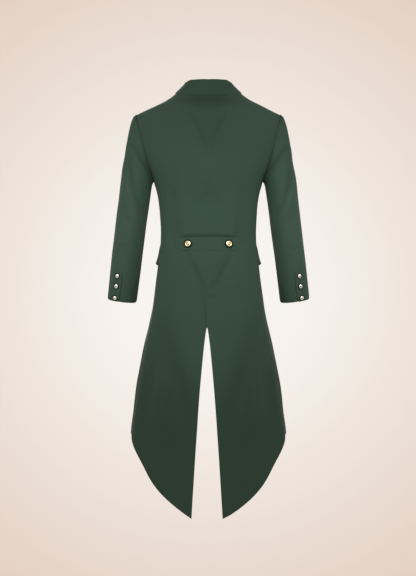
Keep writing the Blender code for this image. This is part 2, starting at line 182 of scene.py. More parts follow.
def ridge(out):
    """(y, z) of the back neck seam, and of the shoulder seam beyond it, at a distance from the middle."""
    neck = np.minimum(out / NECK_HALF_WIDTH, 1.0)
    neck_y = RIDGE_FORWARD + (NECK_BACK_DEPTH - RIDGE_FORWARD) * np.sqrt(1 - neck**2)
    neck_z = lerp(NECK_BACK_HEIGHT, NECK_POINT_HEIGHT, neck**2) + NECK_SLOPE_RISE * neck**4
    share = np.clip((out - NECK_HALF_WIDTH) / (SHOULDER_HALF_WIDTH - NECK_HALF_WIDTH), 0, 1)
    shoulder_z = lerp(NECK_POINT_HEIGHT, SHOULDER_POINT_HEIGHT, share) + SHOULDER_CROWN * np.sin(np.pi * share)
    beyond_neck = np.maximum(out - NECK_HALF_WIDTH, 0) / NECK_SLOPE_LENGTH
    shoulder_z = shoulder_z + NECK_SLOPE_RISE * bell(beyond_neck)
    on_neck = out < NECK_HALF_WIDTH
    return np.where(on_neck, neck_y, RIDGE_FORWARD), np.where(on_neck, neck_z, shoulder_z)


def fold(turn, level):
    """How far the tails' folds stand out from the plain section."""
    moved = 0.0
    for centre, width, depth, starts, full in zip(*FOLDS.values()):
        away = (np.abs(turn) - centre) / width
        moved = moved + depth * ease((level - starts) / (full - starts)) * bell(away)
    return moved * lerp(1, FOLD_AT_HEM, ease((level - FOLD_FADES) / (TAIL_CORNER - FOLD_FADES)))


def body(turn, level):
    """Points of the wearer's form; turn is 0 at the centre back and 180 at the centre front."""
    sine, cosine = np.sin(np.radians(turn)), np.cos(np.radians(turn))
    square = section(level, "squareness")
    reach = (np.abs(sine) ** square + np.abs(cosine) ** square) ** (-1 / square)
    grow = fold(turn, level)
    x = (section(level, "half_width") + grow) * reach * sine
    y = (np.where(cosine > 0, section(level, "back"), section(level, "front")) + grow) * reach * cosine
    ridge_y, ridge_z = ridge(np.minimum(np.abs(x), SHOULDER_HALF_WIDTH))
    down = 1 - np.minimum(1.0, level / SHOULDER_ROUND)
    y = np.where(level < UNDERARM, lerp(ridge_y, y, np.sqrt(1 - down * down)), y)
    z = np.where(level < UNDERARM, lerp(ridge_z, -UNDERARM, level / UNDERARM), -level)
    return np.stack(np.broadcast_arrays(x, y, z), axis=-1)


def on_body(turn, level, out):
    """Points moved out from the form along its normal."""
    step = np.where(level > NORMAL_STEP, NORMAL_STEP, NORMAL_STEP / 100)
    across = body(turn + NORMAL_TURN, level) - body(turn - NORMAL_TURN, level)
    down = body(turn, level + step) - body(turn, np.maximum(level - step, 0))
    normal = np.cross(across, down)
    normal /= norm(normal, axis=-1, keepdims=True)
    return body(turn, level) + normal * np.broadcast_to(out, normal.shape[:-1])[..., None]


def turn_at(x, level, front=False):
    """The turn at which the form, with its folds, reaches x."""
    square = section(level, "squareness")
    turn = 45.0
    for _ in range(4):
        share = np.minimum(np.abs(x) / (section(level, "half_width") + fold(turn, level)), 0.9999)
        turn = np.degrees(np.arctan2(share, (1 - share**square) ** (1 / square)))
        turn = 180 - turn if front else turn
    return np.copysign(turn, x)


def armhole(phi, inset=0.0):
    """The armhole's (turn, level) at phi degrees round it: 0 at the shoulder, 90 behind, 180 underarm."""
    sine, cosine = np.sin(np.radians(phi)), np.cos(np.radians(phi))
    reach = np.where(sine > 0, ARMHOLE_BACK_TURN, ARMHOLE_FRONT_TURN)
    turn = 90 - reach * sine * (1 - inset / ARMHOLE_HALF_REACH)
    return turn, UNDERARM / 2 * (1 - cosine * (1 - inset / ARMHOLE_HALF_HEIGHT))


def armhole_turn(level, back):
    phi = np.degrees(np.arccos(1 - 2 * np.minimum(level, UNDERARM) / UNDERARM))
    return armhole(phi if back else -phi)[0]


def waist_level(turn):
    return WAIST + WAIST_DIP_AT_FRONT * ease((np.abs(turn) - 90) / WAIST_DIP_TURNS)


def side_back_seam(level):
    start, start_level = armhole(SIDE_BACK_SEAM_START)
    share = np.clip((level - start_level) / (WAIST - start_level), 0, 1)
    return lerp(start, turn_at(SIDE_BACK_SEAM_AT_WAIST, WAIST), 1 - (1 - share) ** SIDE_BACK_SEAM_CURVE)


def lines(length, pitch=GRID_PITCH):
    """The shares of a length at which a panel's grid lines lie, close together at both edges."""
    ends = np.array(EDGE_LINES)
    middle = np.linspace(ends[-1], length - ends[-1], round(length / pitch) + 1)[1:-1]
    return np.concatenate([ends, middle, (length - ends)[::-1]]) / length


def armhole_levels(first, last):
    """Levels of a panel's grid lines beside the armhole, from one place round it to another."""
    phi = np.arange(first, last + ARMHOLE_GRID_STEP / 2, ARMHOLE_GRID_STEP)
    return UNDERARM / 2 * (1 - np.cos(np.radians(phi)))


def crease(across, down, way, width, depth, ridge_share=0.4):
    """A soft trough along a way of points, with a low ridge beside it, that fades at both ends."""
    way = np.array(way)
    lengths = norm(np.diff(way, axis=0), axis=1)
    nearest, signed, along = np.full(across.shape, np.inf), np.zeros(across.shape), np.zeros(across.shape)
    for k, length in enumerate(lengths):
        step = (way[k + 1] - way[k]) / length
        a, d = across - way[k][0], down - way[k][1]
        t = np.clip(a * step[0] + d * step[1], 0, length)
        away = np.hypot(a - t * step[0], d - t * step[1])
        side = np.where(step[0] * d - step[1] * a < 0, -1.0, 1.0)
        closer = away < nearest
        nearest = np.where(closer, away, nearest)
        signed = np.where(closer, away * side, signed)
        along = np.where(closer, (lengths[:k].sum() + t) / lengths.sum(), along)
    s = signed / width
    fade = np.sin(np.pi * np.clip(along, 0, 1)) ** CREASE_FADE
    return depth * fade * (ridge_share * bell(s - CREASE_RIDGE) - bell(s))


def creased(points, creases, x=None):
    """The moves of several creases together, and the painted shade in them: how much each point's colour is
    darkened, by how deep in them it lies. A negative depth mirrors a crease's ridge to its other side. Their
    ways are (x, height) pairs, measured on the body."""
    x = points[..., 0] if x is None else x
    moved, painted_shade = np.zeros(x.shape), np.zeros(x.shape)
    for way, width, depth in creases:
        sign = math.copysign(1, depth)
        made = crease(x * sign, points[..., 2], [(a * sign, b) for a, b in way], width, abs(depth))
        moved = moved + made
        painted_shade = np.maximum(painted_shade, -made / width / PAINTED_SHADE_SLOPE)
    return moved, painted_shade


# The slight waviness that hung and worn cloth has all over: directions and lengths of its long low waves
WAVES = table(
    ("x", "y", "z", "length", "height"),
    (1.0, 0.3, 0.20, 0.083, 0.00022),
    (0.8, -0.4, 0.55, 0.121, 0.00030),
    (-0.5, 0.7, 0.60, 0.064, 0.00014),
    (0.9, 0.5, -0.35, 0.047, 0.00009),
    (-0.3, -0.6, 0.90, 0.157, 0.00030),
    (0.2, 0.9, -0.70, 0.071, 0.00015),
)
WAVE_SHIFT = 1.7


def waviness(points):
    moved = 0.0
    for i, (x, y, z, length, height) in enumerate(zip(*WAVES.values())):
        way = points @ (np.array((x, y, z)) / math.hypot(x, y, z))
        moved = moved + height * np.sin(way * math.tau / length + WAVE_SHIFT * i)
    return moved


def grid_normals(points):
    """The outward normals of a grid of points, whose rows go down and whose columns go across."""
    across, down = np.gradient(points, axis=1), np.gradient(points, axis=0)
    normal = np.cross(across, down)
    return normal / np.maximum(norm(normal, axis=-1, keepdims=True), 1e-12)


def run_lengths(points, axis):
    steps = norm(np.diff(points, axis=axis), axis=-1)
    start = np.zeros_like(np.take(steps, [0], axis=axis))
    return np.concatenate([start, np.cumsum(steps, axis=axis)], axis=axis)


def placed_object(name, bm, material, sharp_from):
    """An object from a bmesh, with smooth shading but for turns sharper than sharp_from degrees."""
    bmesh.ops.recalc_face_normals(bm, faces=bm.faces[:])
    mesh = bpy.data.meshes.new(name)
    bm.to_mesh(mesh)
    bm.free()
    mesh.materials.append(material)
    mesh.shade_smooth()
    mesh.set_sharp_from_angle(angle=math.radians(sharp_from))
    made = bpy.data.objects.new(name, mesh)
    scene.collection.objects.link(made)
    return made


def cloth_piece(name, points, out, seams=(0.0,) * 4, painted_shade=0.0, thickness=CLOTH, flip=False):
    """A piece of cloth with two faces and turned edges, on a grid of points that are moved out along its
    normal. seams says for its left, right, upper and lower edge how deep it is pressed into a seam there,
    and 0 for a free edge, which is rounded. The painted shade at each point, from 0 to 1, darkens its
    colour: it is how deep in a crease the point lies, and seams sunk as deep as the armhole's add more."""
    rows, columns = points.shape[:2]
    normal = grid_normals(points) * (-1 if flip else 1)
    u, v = run_lengths(points, 1), run_lengths(points, 0)
    to_edges = (u, u[:, -1:] - u, v, v[-1:] - v)
    sink, rounding = 0.0, 0.0
    round_off = thickness * EDGE_ROUND
    for away, depth in zip(to_edges, seams):
        sink = sink + depth * bell(away / SEAM_SINK_WIDTH)
        short = np.clip(1 - away / round_off, 0, 1) * (np.asarray(depth) == 0.0)
        rounding = np.maximum(rounding, round_off * (1 - np.sqrt(1 - short * short)))
    faces = {False: out - sink - rounding, True: out - sink - thickness + rounding}

    bm = bmesh.new()
    bmesh.ops.create_grid(bm, x_segments=columns - 1, y_segments=rows - 1, size=0.5)
    outer = set(bm.verts)
    bmesh.ops.extrude_face_region(bm, geom=bm.faces[:])
    placed = {inner: points + normal * moved[..., None] for inner, moved in faces.items()}
    weave, shade = [], []
    # Seams sunk as deep as the armhole's get painted shade along them
    at_seam = np.broadcast_to(sink / ARMHOLE_SINK - SEAM_SHADE_FROM, u.shape)
    painted_shade = np.clip(np.maximum(painted_shade, at_seam), 0, 1)
    for vert in bm.verts:
        i, j = round((vert.co.x + 0.5) * (columns - 1)), round((vert.co.y + 0.5) * (rows - 1))
        vert.co = placed[vert not in outer][j, i]
        weave.append((u[j, i] - u[j, columns // 2], v[j, i]))
        shade.append(painted_shade[j, i])
    piece = placed_object(name, bm, wool, sharp_from=50)
    mesh = piece.data
    corner_verts = np.empty(len(mesh.loops), np.int32)
    mesh.loops.foreach_get("vertex_index", corner_verts)
    mesh.uv_layers.new(name="weave").data.foreach_set("uv", np.array(weave, np.float32)[corner_verts].ravel())
    # The painted shade is kept on each point, for the wool to darken its colour by
    mesh.attributes.new("painted_shade", "FLOAT", "POINT").data.foreach_set("value", np.array(shade, np.float32))
    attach(piece, "root")
    return piece


class Term:
    """A shader socket that can be used in plain arithmetic."""

    def __init__(self, finish, socket):
        self.finish, self.socket = finish, socket

    def _with(self, operation, other):
        return self.finish.term("Math", {0: self, 1: other}, operation=operation)

    def __add__(self, other):
        return self._with("ADD", other)

    def __sub__(self, other):
        return self._with("SUBTRACT", other)

    def __mul__(self, other):
        return self._with("MULTIPLY", other)


class Finish:
    """The nodes of a material or of the world, under construction, and their shader."""

    def __init__(self, owner, shader="Principled BSDF"):
        owner.use_nodes = True
        self.tree = owner.node_tree
        self.shader = self.tree.nodes[shader]

    def feed(self, node, sockets):
        for key, value in sockets.items():
            value = value.socket if isinstance(value, Term) else value
            if isinstance(value, bpy.types.NodeSocket):
                self.tree.links.new(value, node.inputs[key])
            else:
                node.inputs[key].default_value = value

    def term(self, kind, sockets, output=0, stops=(), **settings):
        """One output of a new node; stops are the colours of a ramp, which has two to begin with."""
        node = self.tree.nodes.new("ShaderNode" + kind)
        for key, value in settings.items():
            setattr(node, key, value)
        for at, colour in stops[2:]:
            node.color_ramp.elements.new(at)
        for k, (at, colour) in enumerate(stops):
            element = node.color_ramp.elements[k]
            element.position, element.color = at, (*colour, 1)
        self.feed(node, sockets)
        return Term(self, node.outputs[output])

    def attribute(self, name):
        return self.term("Attribute", {}, "Fac", attribute_name=name)

    def mix(self, share, first, second):
        """The first colour, turning into the second with the share."""
        return self.term("Mix", {0: share, 6: first, 7: second}, 2, data_type="RGBA")


# Green wool suiting: a fine twill of slightly uneven yarns with a soft nap, with painted shade in its creases,
# along the armhole seams, below the collar and beside the tail folds
WOOL_DARK = (0.0310, 0.0590, 0.0400, 1)
WOOL_LIGHT = (0.0400, 0.0730, 0.0505, 1)
# The colour that the painted shade darkens the wool towards
WOOL_PAINTED_SHADE = (0.0170, 0.0330, 0.0220, 1)
TWILL_PITCH = 0.0011
YARN_PITCH = 0.0006
CLOUDS, SLUBS, TWILL_TINT, TONE_SHIFT = 0.7, 0.5, 0.05, 0.1
# How far the painted shade darkens the wool at its strongest
PAINTED_SHADE_SHARE = 0.75
WOOL_ROUGHNESS, WOOL_UNEVEN = 0.80, 0.10
TWILL_RELIEF, YARN_RELIEF = 0.5, 0.25

wool = bpy.data.materials.new("green_wool_twill")
nodes = Finish(wool)
weave_map = nodes.term("UVMap", {}, uv_map="weave")
place = nodes.term("TexCoord", {}, "Object")
across_yarn, down_yarn = (nodes.term("SeparateXYZ", {0: weave_map}, axis) for axis in (0, 1))
twill = nodes.term("Math", {0: (across_yarn + down_yarn) * (math.tau / TWILL_PITCH)}, operation="SINE")
yarn = nodes.term("Math", {0: across_yarn * (math.tau / YARN_PITCH)}, operation="SINE")
slub = nodes.term("TexNoise", {"Vector": weave_map, "Scale": 420.0, "Detail": 2.0})
cloudy = nodes.term("TexNoise", {"Vector": place, "Scale": 7.0, "Detail": 3.0, "Roughness": 0.55})
tone = nodes.mix(cloudy * CLOUDS + slub * SLUBS - TONE_SHIFT + twill * TWILL_TINT, WOOL_DARK, WOOL_LIGHT)
# Painted shade: the wool's colour is darkened by a per-point attribute in its creases, along the armhole seams,
# below the collar and beside the tail folds
colour = nodes.mix(nodes.attribute("painted_shade") * PAINTED_SHADE_SHARE, tone, WOOL_PAINTED_SHADE)
height = twill * TWILL_RELIEF + yarn * YARN_RELIEF + slub
relief = nodes.term("Bump", {"Strength": 0.35, "Distance": 0.00012, "Height": height})
nodes.feed(nodes.shader, {
    "Base Color": colour,
    "Roughness": cloudy * WOOL_UNEVEN + WOOL_ROUGHNESS,
    "Normal": relief,
    "Specular IOR Level": 0.12,
    "Sheen Weight": 0.06,
    "Sheen Roughness": 0.50,
    "Sheen Tint": (0.75, 0.95, 0.80, 1),
})

seam_top = armhole(SIDE_BACK_SEAM_START)[1]
back_levels = np.concatenate(
    [
        armhole_levels(0, SIDE_BACK_SEAM_START)[:-1],
        lerp(seam_top, BLOUSE_TOP, lines(BLOUSE_TOP - seam_top))[:-4],
        np.arange(BLOUSE_TOP, WAIST - EDGE_LINES[-1], BLOUSE_PITCH),
        WAIST - np.array(EDGE_LINES)[::-1],
    ]
)


def back_limit(level):
    return np.where(level <= seam_top, armhole_turn(level, back=True), side_back_seam(level))


def back_points():
    share, level = np.meshgrid(lines(BACK_GRID_WIDTH) * 2 - 1, back_levels)
    limit = back_limit(level)
    x = share * body(limit, level)[..., 0]
    return body(lerp(share * limit, turn_at(x, level), 0.5), level)


# Creases and hollows of the upper back and waist: a way of (x, height) points, width and depth each
BACK_CREASES = (
    (((0.058, -0.044), (0.0373, -0.0772), (0.0167, -0.1241), (-0.001, -0.172)), 0.0058, 0.0027),
    (((-0.058, -0.048), (-0.0331, -0.0831), (-0.0155, -0.1271), (0.000, -0.172)), 0.0058, -0.0024),
    (((0.09, -0.02), (0.000, -0.032), (-0.09, -0.02)), 0.02, 0.006),
    (((0.002, -0.02), (0.000, -0.11), (-0.003, -0.215)), 0.038, 0.007),
    (((0.034, -0.335), (0.01, -0.3), (0.004, -0.25)), 0.01, 0.001),
    (((-0.045, -0.35), (-0.022, -0.31), (-0.01, -0.262)), 0.011, -0.0011),
)
# Painted shadow below the collar's fall, darkening the back's colour: its strength, height, length and
# half-width
NAPE_SHADOW = 0.62
NAPE_SHADOW_HEIGHT = -0.014
NAPE_SHADOW_LENGTH = 0.018
NAPE_SHADOW_HALF_WIDTH = 0.078

# The hollows where the side-back seams draw the cloth in, outside the flat middle of the back
WAIST_BANDS = table(("out", "width", "depth"), (0.110, 0.018, 0.0052), (-0.113, 0.018, 0.0050))
WAIST_BAND_TOP = 0.185
WAIST_BAND_GROWS = 0.12
WAIST_BAND_FOOT = 0.46
WAIST_BAND_FADES = 0.035


def blouse(x, level):
    """The cloth above the half-belt bulges over its upper edge and rolls in behind it."""
    lip = BELT_MIDDLE - BELT_HALF_HEIGHT - BLOUSE_OVER_BELT + BLOUSE_ARCH * (x / BELT_HALF_LENGTH) ** 2
    across = ease((BELT_HALF_LENGTH + BLOUSE_BEYOND_BELT - np.abs(x)) / BLOUSE_FADE)
    down = ease((level - BLOUSE_STARTS) / (BLOUSE_TURNS - BLOUSE_STARTS))
    under = np.clip((level - BLOUSE_TURNS) / (lip - BLOUSE_TURNS), 0, 1)
    return BLOUSE_OUT * across * down * np.sqrt(1 - under**2)


def waist_bands(x, level):
    moved = 0.0
    grown = ease((level - WAIST_BAND_TOP) / WAIST_BAND_GROWS)
    grown = grown * ease((WAIST_BAND_FOOT - level) / WAIST_BAND_FADES)
    for centre, width, depth in zip(*WAIST_BANDS.values()):
        moved = moved - depth * grown * bell((x - centre) / width)
    return moved


def body_shape(points):
    x, level = points[..., 0], -points[..., 2]
    return waviness(points) + blouse(x, level) + waist_bands(x, level)


back_grid = back_points()
# The back's creases get painted shade in them, and a painted shadow lies below the collar
creases, painted_shade = creased(back_grid, BACK_CREASES)
nape_shadow = NAPE_SHADOW * np.exp(
    -(((back_grid[..., 2] - NAPE_SHADOW_HEIGHT) / NAPE_SHADOW_LENGTH) ** 2)
    - (back_grid[..., 0] / NAPE_SHADOW_HALF_WIDTH) ** 4
)
beside = np.where(back_levels <= seam_top, ARMHOLE_SINK, SEAM_SINK)[:, None]
back_piece = cloth_piece(
    "back_panel", back_grid, body_shape(back_grid) + creases, (beside, beside, SEAM_SINK, WAIST_SINK),
    np.maximum(painted_shade, nape_shadow),
)
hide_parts("back")


# Side-back panels: between the back and the side seam, from the lower armhole to the waist seam. Wool suiting
# like the back, sewn to it along a curved seam that draws the waist in.
SIDE_BACK_GRID = (0.070, 0.250)


def side_back_points(side):
    share, down = np.meshgrid(*map(lines, SIDE_BACK_GRID))
    top_turn, top = armhole(lerp(SIDE_BACK_SEAM_START, 180, share))
    level = np.minimum(lerp(top, WAIST, down), WAIST)
    turn = lerp(side_back_seam(level), 90, share)
    turn = turn + (1 - down) * (top_turn - lerp(side_back_seam(top), 90, share)) * (share > 0)
    return body(side * turn, level)


for side, word in SIDES:
    grid = side_back_points(side)
    seams = (SEAM_SINK, SEAM_SINK, ARMHOLE_SINK, WAIST_SINK)
    piece = cloth_piece(f"side_back_panel_{word}", grid, body_shape(grid), seams, flip=side < 0)
    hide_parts(f"side_back_{word}")


# Fronts: from the neck, shoulder and side seams to the front edge, where the lapel turns back. The coat is
# worn open, as tailcoats are, and the fronts end at the waist. They are hidden in the photograph and plain.
FRONT_EDGE = table(
    ("level", "out"),
    (0.000, 0.080),
    (0.060, 0.072),
    (0.140, 0.058),
    (0.240, 0.040),
    (0.340, 0.023),
    (0.400, 0.014),
    (0.436, 0.014),
)
FRONT_CUT = (0.200, 0.520)
FRONT_CREASES = (
    (((0.19, -0.215), (0.16, -0.226), (0.128, -0.218)), 0.008, 0.002),
    (((0.15, -0.375), (0.118, -0.392), (0.08, -0.396)), 0.007, 0.0014),
    (((0.148, -0.33), (0.12, -0.352), (0.094, -0.358)), 0.006, 0.001),
)


def front_edge_turn(level):
    return turn_at(read(FRONT_EDGE, "level", level, "out"), np.minimum(level, WAIST), front=True)


front_levels = np.concatenate([armhole_levels(0, 180)[:-1], lerp(UNDERARM, WAIST, lines(WAIST - UNDERARM))])


def front_points(side):
    share, level = np.meshgrid(lines(FRONT_CUT[0]), front_levels)
    start = np.where(level <= UNDERARM, armhole_turn(level, back=False), 90)
    turn = lerp(start, front_edge_turn(level), share)
    below = lerp(UNDERARM, waist_level(turn), (level - UNDERARM) / (WAIST - UNDERARM))
    return body(side * turn, np.where(level > UNDERARM, below, level))


for side, word in SIDES:
    grid = front_points(side)
    creases, painted_shade = creased(grid, FRONT_CREASES, grid[..., 0] * side)
    beside = np.where(front_levels <= UNDERARM, ARMHOLE_SINK, SEAM_SINK)[:, None]
    seams = (beside, 0.0, SEAM_SINK, SEAM_SINK)
    piece = cloth_piece(f"front_panel_{word}", grid, waviness(grid) + creases, seams, painted_shade, flip=side < 0)
    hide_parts(f"front_{word}")


# Tails: two long panels from the waist seam to pointed tips, open between them from the vent's top and cut
# away at the front. Two folds run from under the belt's buttons to the middle, the right tail laps over the
# left one above the vent, and long soft folds hang below the hips.
VENT_FOOT = 1.227
VENT_HALF_GAP_AT_FOOT = 0.0445
VENT_SHIFT = 0.004
VENT_CURVE = 0.72
TAIL_FRONT_TURN = 128
TAIL_FRONT_CURVE = 1.3
TAIL_CORNER_TURN = 87
TAIL_HEM = table(
    ("out", "level"),
    (0.0480, 1.239),
    (0.0700, 1.227),
    (0.1000, 1.203),
    (0.1470, 1.160),
    (0.1800, 1.116),
    (0.2055, 1.0715),
    (0.2240, 1.032),
    (0.2335, 1.006),
)
TAIL_HEM_PINS = (9, 1, 1, 1, 1, 1, 1, 9)
TAIL_GRID = (0.330, 0.760)
TAIL_HEM_DEGREE = 4
BEHIND_FADES = 0.03
VENT_SINK = 0.0002
TAIL_CREASES = (
    (((0.074, -0.45), (0.0607, -0.4704), (0.0401, -0.5085), (0.0226, -0.5466), (0.003, -0.58)), 0.008, 0.0038),
    (((-0.075, -0.452), (-0.0624, -0.4733), (-0.0419, -0.5143), (-0.0214, -0.5524), (0.002, -0.582)),
     0.008, -0.0036),
    (((0.028, -0.5885), (0.004, -0.5915), (-0.034, -0.599)), 0.0045, 0.0011),
    (((0.1, -0.8), (0.118, -0.93), (0.128, -1.08)), 0.016, 0.0034),
    (((-0.104, -0.78), (-0.12, -0.92), (-0.124, -1.1)), 0.017, -0.0036),
    (((0.182, -0.76), (0.196, -0.88), (0.204, -0.99)), 0.012, 0.0026),
    (((-0.18, -0.79), (-0.192, -0.9), (-0.198, -1.01)), 0.012, -0.0024),
)

# The low broad folds that run down and inwards from the hips: their ways, widths and heights
TAIL_FOLDS = (
    (((0.112, -0.61), (0.0924, -0.6924), (0.0574, -0.8089), (0.0312, -0.8963), (0.018, -0.965)), 0.028, 0.01),
    (((-0.114, -0.605), (-0.0941, -0.6924), (-0.064, -0.8089), (-0.04, -0.8963), (-0.024, -0.97)), 0.028, 0.01),
)
# How strongly painted shade darkens the cloth beside and below each of these folds
FOLD_SHADE = 0.22

# How far the right tail laps over the left one above the vent
VENT_LAP = table(
    ("level", "out"),
    (0.584, 0.0000),
    (0.594, 0.0085),
    (0.605, 0.0092),
    (0.646, 0.0045),
    (0.684, 0.0008),
    (0.710, 0.0000),
)
VENT_LAP_LIFT = 0.0021
VENT_LAP_EASING = 0.014
VENT_LAP_GROWS = 0.012
VENT_LAP_FADES = 0.045


def tail_turns(level, side):
    """Where a tail begins, at the centre seam and the vent, and ends at its front edge."""
    above = VENT_SHIFT * ease((level - WAIST) / (VENT_TOP - WAIST))
    if side < 0:
        above = above + read(VENT_LAP, "level", level, "out")
    open_share = np.clip((level - VENT_TOP) / (VENT_FOOT - VENT_TOP), 0, 1.05)
    beside = side * VENT_HALF_GAP_AT_FOOT * open_share**VENT_CURVE + VENT_SHIFT
    inner = np.where(level < VENT_TOP, above, beside)
    share = np.clip((level - WAIST) / (TAIL_CORNER - WAIST), 0, 1)
    front = lerp(TAIL_FRONT_TURN, TAIL_CORNER_TURN, share**TAIL_FRONT_CURVE)
    return side * turn_at(inner, level), front


def vent_lap(from_edge, level):
    """How far the right tail stands out where it laps over the left one."""
    grown = ease((level - VENT_LAP["level"][0]) / VENT_LAP_GROWS)
    along = grown * (1 - ease((level - VENT_TOP) / VENT_LAP_FADES))
    return VENT_LAP_LIFT * along * bell(from_edge / VENT_LAP_EASING)


def tail_points(side):
    start, end = tail_turns(TAIL_HEM["level"], side)
    shares = (turn_at(TAIL_HEM["out"], TAIL_HEM["level"]) - start) / (end - start)
    shares[0], shares[-1] = 0.0, 1.0
    hem = np.polyfit(shares, TAIL_HEM["level"], TAIL_HEM_DEGREE, w=TAIL_HEM_PINS)
    across, down = np.meshgrid(*map(lines, TAIL_GRID))
    top = waist_level(lerp(0, TAIL_FRONT_TURN, across))
    level = lerp(top, np.polyval(hem, across), down)
    start, end = tail_turns(level, side)
    return body(side * lerp(start, end, across), level)


for side, word in SIDES:
    grid = tail_points(side)
    x, y, z = np.moveaxis(grid, -1, 0)
    behind = ease(y / BEHIND_FADES)
    creases, painted_shade = creased(grid, TAIL_CREASES)
    shape = waviness(grid) + behind * (creases + waist_bands(x, -z))
    for way, width, height in TAIL_FOLDS:
        shape = shape - behind * crease(x, z, way, width, height, ridge_share=0)
        # Painted shade on the cloth just beside and below each fold
        beyond = [(a + math.copysign(width, a), b - width / 2) for a, b in way]
        shaded = -FOLD_SHADE * crease(x, z, beyond, width, 1.0, ridge_share=0)
        painted_shade = np.maximum(painted_shade, shaded)
    if side < 0:
        shape = shape + vent_lap(run_lengths(grid, 1), -z)
    sewn_above = np.where(-z < (VENT_TOP if side > 0 else VENT_LAP["level"][0]), VENT_SINK, 0.0)
    seams = (sewn_above, 0.0, SEAM_SINK, 0.0)
    piece = cloth_piece(f"tail_panel_{word}", grid, shape, seams, painted_shade * behind, flip=side < 0)
    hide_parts(f"tail_{word}")


# Sleeves: each has a top and an under panel, sewn together behind and in front and eased into the armhole,
# with a little fullness at the sleeve head. The hind seam ends in a vent, where the top panel laps over.
BICEP = np.array((0.2175, 0.002, -0.268))
CUFF = np.array((0.2610, -0.030, -0.6088))
ELBOW_BOW = 0.014
BICEP_HALF = (0.0468, 0.066)
CUFF_HALF = (0.0447, 0.050)
HIND_SEAM = 75
FORE_SEAM = -105
CAP_RISE = 0.85
CAP_RISE_BEHIND = 0.32
SLEEVE_TUCK = 0.005
SLEEVE_TUCK_DEPTH = 0.0032
CAP_LENGTH = 0.13
SLEEVE_STEPS = 72
SLEEVE_GRID_WIDTH = 0.18
SLEEVE_WAVINESS = 0.6
SLEEVE_VENT_TOP = 0.735
SLEEVE_VENT_LAP = 7.0
SLEEVE_VENT_LIFT = 0.0017
SLEEVE_VENT_GROWS = 0.03
VENT_BESIDE_SEAM = 11
VENT_WIDENS_FROM = 40
VENT_LIFTS_FROM = 58
VENT_LIFTS_OVER = 14
VENT_CORNER_RISE = 0.008
VENT_UNDER_SINK = 1.2
SLEEVE_HEAD = 0.0042
SLEEVE_HEAD_LENGTH = 0.065
HEAD_STARTS = 0.008
HEAD_SHADE = 0.6
HEAD_SHADE_LENGTH = 0.0045
HEAD_SINK = 0.0001
SLEEVE_SHAPE_STARTS = 0.012
FACING_FADE = 0.03
FACING_SHIFT = 0.3
CUFF_ROUND = 0.011
CUFF_ROUND_IN = 0.004
SLEEVE_CREASES = {
    "left": (
        (1, ((0.236, -0.132), (0.2275, -0.1458), (0.205, -0.18), (0.1771, -0.2199), (0.168, -0.24)),
         0.007, 0.0042),
        (1, ((0.246, -0.165), (0.2394, -0.1903), (0.2275, -0.2644), (0.2097, -0.3089), (0.184, -0.35)),
         0.01, 0.0056),
        (1, ((0.262, -0.3), (0.25, -0.35), (0.226, -0.392)), 0.01, 0.0022),
        (1, ((0.222, -0.43), (0.246, -0.448), (0.276, -0.44)), 0.008, 0.0014),
        (-1, ((0.232, -0.128), (0.208, -0.172), (0.18, -0.214), (0.17, -0.24)), 0.007, 0.0036),
        (-1, ((0.19, -0.352), (0.222, -0.376), (0.258, -0.372)), 0.007, 0.0034),
        (-1, ((0.196, -0.396), (0.228, -0.412), (0.262, -0.402)), 0.0065, 0.0028),
        (-1, ((0.202, -0.33), (0.228, -0.336), (0.25, -0.322)), 0.006, 0.0018),
    ),
    "right": (
        (1, ((0.242, -0.138), (0.2353, -0.1517), (0.208, -0.184), (0.1789, -0.2199), (0.169, -0.238)),
         0.007, 0.004),
        (1, ((0.252, -0.175), (0.2471, -0.2051), (0.2382, -0.2793), (0.2175, -0.3238), (0.19, -0.358)),
         0.01, 0.0058),
        (1, ((0.264, -0.318), (0.248, -0.366), (0.228, -0.4)), 0.009, 0.002),
        (1, ((0.226, -0.446), (0.25, -0.456), (0.278, -0.446)), 0.008, 0.0013),
        (-1, ((0.23, -0.132), (0.206, -0.176), (0.182, -0.212), (0.17, -0.238)), 0.007, 0.0034),
        (-1, ((0.19, -0.346), (0.224, -0.368), (0.256, -0.366)), 0.007, 0.0032),
        (-1, ((0.198, -0.39), (0.23, -0.404), (0.264, -0.398)), 0.0065, 0.003),
    ),
}


def arm_ring(share, phi):
    """Points of the sleeve's tube; share runs from the bicep (0) to the cuff (1)."""
    axis = (CUFF - BICEP) / norm(CUFF - BICEP)
    across = np.array((1, 0, 0)) - axis * axis[0]
    across /= norm(across)
    deep = np.cross(across, axis)
    bow = np.stack([0 * share, ELBOW_BOW * np.sin(np.pi * share), 0 * share], axis=-1)
    centre = BICEP + (CUFF - BICEP) * share[..., None] + bow
    half_across, half_deep = (lerp(BICEP_HALF[k], CUFF_HALF[k], share)[..., None] for k in (0, 1))
    angle = np.radians(phi)[..., None]
    return centre + across * half_across * np.cos(angle) + deep * half_deep * np.sin(angle)


def sleeve_points(share, phi, side):
    """share runs from -1 at the armhole to 0 at the bicep and 1 at the cuff."""
    start = body(*armhole(phi))
    end = arm_ring(np.zeros_like(share), phi)
    rise = (BICEP - CUFF) / norm(BICEP - CUFF)
    rise_share = lerp(CAP_RISE, CAP_RISE_BEHIND, np.sin(np.radians(phi)) ** 2)
    rise = rise * norm(start - end, axis=-1, keepdims=True) * rise_share[..., None]
    t = np.clip(1 + share, 0, 1)[..., None]
    cap = start * (1 - t) ** 2 + (end + rise) * (2 * t * (1 - t)) + end * t**2
    cap[..., 0] -= LIFT * (1 - t[..., 0])
    points = np.where(share[..., None] < 0, cap, arm_ring(np.maximum(share, 0), phi))
    return points * (side, 1, 1)


